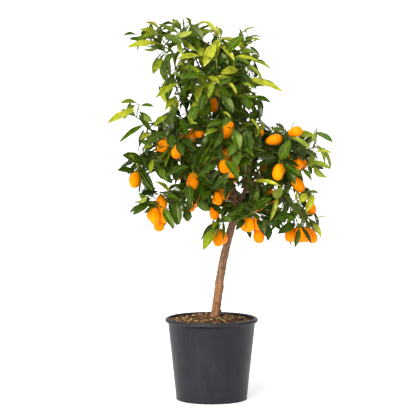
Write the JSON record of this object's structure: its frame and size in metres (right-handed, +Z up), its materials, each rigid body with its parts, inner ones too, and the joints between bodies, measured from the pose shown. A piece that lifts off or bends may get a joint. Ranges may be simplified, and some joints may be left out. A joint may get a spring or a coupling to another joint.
{
  "type": "potted kumquat tree",
  "caption": "Small standard kumquat tree with a dense oval leafy crown and hanging fruit, in a round tapered nursery pot with a rolled rim.",
  "frame": {"origin": "centre of the pot's flat underside", "axes": "+Z up along the pot's axis and the tree, -Y to the front, +X to the right seen from the front"},
  "size_m": [0.5313, 0.3809, 0.9046],
  "materials": {
    "pot": "satin",
    "soil": "matte",
    "bark": "matte",
    "young_leaves": "satin",
    "leaves": "satin"
  },
  "bodies": {
    "root": {"pot": "pot", "soil": "soil", "trunk": "bark", "leader": "bark", "right_limb": "bark", "upper_left_limb": "bark", "left_arm": "bark", "right_arm": "bark", "top_middle_bough": "bark", "upper_left_bough": "bark", "upper_front_bough": "bark", "upper_back_bough": "bark", "upper_right_bough": "bark", "mid_left_bough": "bark", "left_shoot_bough": "bark", "mid_front_bough": "bark", "mid_right_bough": "bark", "mid_back_bough": "bark", "left_front_bough": "bark", "left_low_bough": "bark", "centre_front_bough": "bark", "low_sprig_bough": "bark", "right_front_bough": "bark", "right_under_bough": "bark", "right_shoot_bough": "bark", "right_low_bough": "bark", "back_left_bough": "bark", "back_centre_bough": "bark", "back_right_bough": "bark", "back_low_left_bough": "bark", "back_low_right_bough": "bark", "top_left": "young_leaves", "top_middle": "young_leaves", "top_centre": "young_leaves", "top_right": "young_leaves", "upper_left": "young_leaves", "upper_front": "young_leaves", "upper_back": "young_leaves", "upper_right": "young_leaves", "mid_left": "leaves", "left_shoot": "young_leaves", "mid_front": "leaves", "mid_right": "leaves", "mid_back": "leaves", "left_wing": "leaves", "left_front": "leaves", "left_low": "leaves", "centre_front": "leaves", "low_sprig": "leaves", "right_front": "leaves", "right_under": "leaves", "right_wing": "leaves", "right_shoot": "young_leaves", "right_low": "leaves", "back_left": "leaves", "back_centre": "leaves", "back_right": "leaves", "back_low_left": "leaves", "back_low_right": "leaves"}
  },
  "joints": []
}
